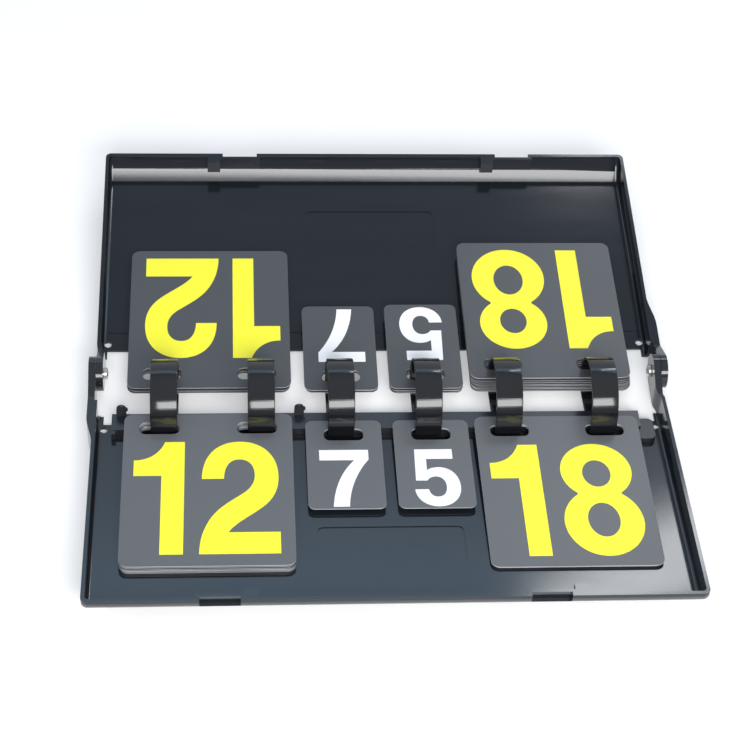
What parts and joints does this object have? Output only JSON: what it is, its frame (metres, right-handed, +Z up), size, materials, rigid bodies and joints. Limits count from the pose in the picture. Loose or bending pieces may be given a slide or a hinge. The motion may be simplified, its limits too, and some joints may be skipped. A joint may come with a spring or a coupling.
{
  "type": "flip scoreboard",
  "caption": "Folding table scoreboard: two shallow trays hinged at their ends, with slotted numeral cards that flip over wide flat rings.",
  "frame": {"origin": "on the table under the case hinge line, at the middle of the board's width", "axes": "+X to the reader's right along the hinge line, +Y away from the reader, +Z up"},
  "size_m": [0.385, 0.3996, 0.04],
  "materials": {
    "gloss_black_case": "gloss, slightly blue black",
    "ring_black": "gloss black",
    "carrier_black": "satin black",
    "card_grey": "satin dark grey with printed numerals",
    "pack_grey": "satin dark grey card edges",
    "plated_steel": "bright plated"
  },
  "bodies": {
    "board": {"front_case": "gloss_black_case", "ring_carrier": "carrier_black", "pivot_screw_left": "plated_steel", "ring_1": "ring_black", "ring_2": "ring_black", "ring_3": "ring_black", "ring_4": "ring_black", "ring_5": "ring_black", "ring_6": "ring_black", "front_pack_left": "pack_grey", "front_pack_seven": "pack_grey", "front_pack_five": "pack_grey", "front_pack_right": "pack_grey"},
    "lid": {"rear_case": "gloss_black_case", "pivot_screw_right": "plated_steel"},
    "rear_left": {"rear_pack_left": "pack_grey", "rear_card_left": "card_grey"},
    "rear_seven": {"rear_pack_seven": "pack_grey", "rear_card_seven": "card_grey"},
    "rear_five": {"rear_pack_five": "pack_grey", "rear_card_five": "card_grey"},
    "rear_right": {"rear_pack_right": "pack_grey", "rear_card_right": "card_grey"},
    "flip_left": {"front_card_left": "card_grey"},
    "flip_seven": {"front_card_seven": "card_grey"},
    "flip_five": {"front_card_five": "card_grey"},
    "flip_right": {"front_card_right": "card_grey"}
  },
  "joints": [
    {"name": "fold", "type": "hinge", "parent": "board", "child": "lid", "pos_m": [0, 0, 0.01514], "axis": [1, 0, 0], "range_deg": [0, 170]},
    {"name": "rear_left_swing", "type": "hinge", "parent": "board", "child": "rear_left", "pos_m": [0, -0.02197, 0.01305], "axis": [1, 0, 0], "range_deg": [0, 170]},
    {"name": "rear_seven_swing", "type": "hinge", "parent": "board", "child": "rear_seven", "pos_m": [0, -0.02197, 0.01305], "axis": [1, 0, 0], "range_deg": [0, 170]},
    {"name": "rear_five_swing", "type": "hinge", "parent": "board", "child": "rear_five", "pos_m": [0, -0.02197, 0.01305], "axis": [1, 0, 0], "range_deg": [0, 170]},
    {"name": "rear_right_swing", "type": "hinge", "parent": "board", "child": "rear_right", "pos_m": [0, -0.02197, 0.01305], "axis": [1, 0, 0], "range_deg": [0, 170]},
    {"name": "flip_left", "type": "hinge", "parent": "board", "child": "flip_left", "pos_m": [0, -0.02197, 0.01305], "axis": [-1, 0, 0], "range_deg": [0, 170]},
    {"name": "flip_seven", "type": "hinge", "parent": "board", "child": "flip_seven", "pos_m": [0, -0.02197, 0.01305], "axis": [-1, 0, 0], "range_deg": [0, 170]},
    {"name": "flip_five", "type": "hinge", "parent": "board", "child": "flip_five", "pos_m": [0, -0.02197, 0.01305], "axis": [-1, 0, 0], "range_deg": [0, 170]},
    {"name": "flip_right", "type": "hinge", "parent": "board", "child": "flip_right", "pos_m": [0, -0.02197, 0.01305], "axis": [-1, 0, 0], "range_deg": [0, 170]}
  ],
  "couplings": [
    {"joint": "rear_left_swing", "follows": "fold", "ratio": 1},
    {"joint": "rear_seven_swing", "follows": "fold", "ratio": 1},
    {"joint": "rear_five_swing", "follows": "fold", "ratio": 1},
    {"joint": "rear_right_swing", "follows": "fold", "ratio": 1}
  ]
}
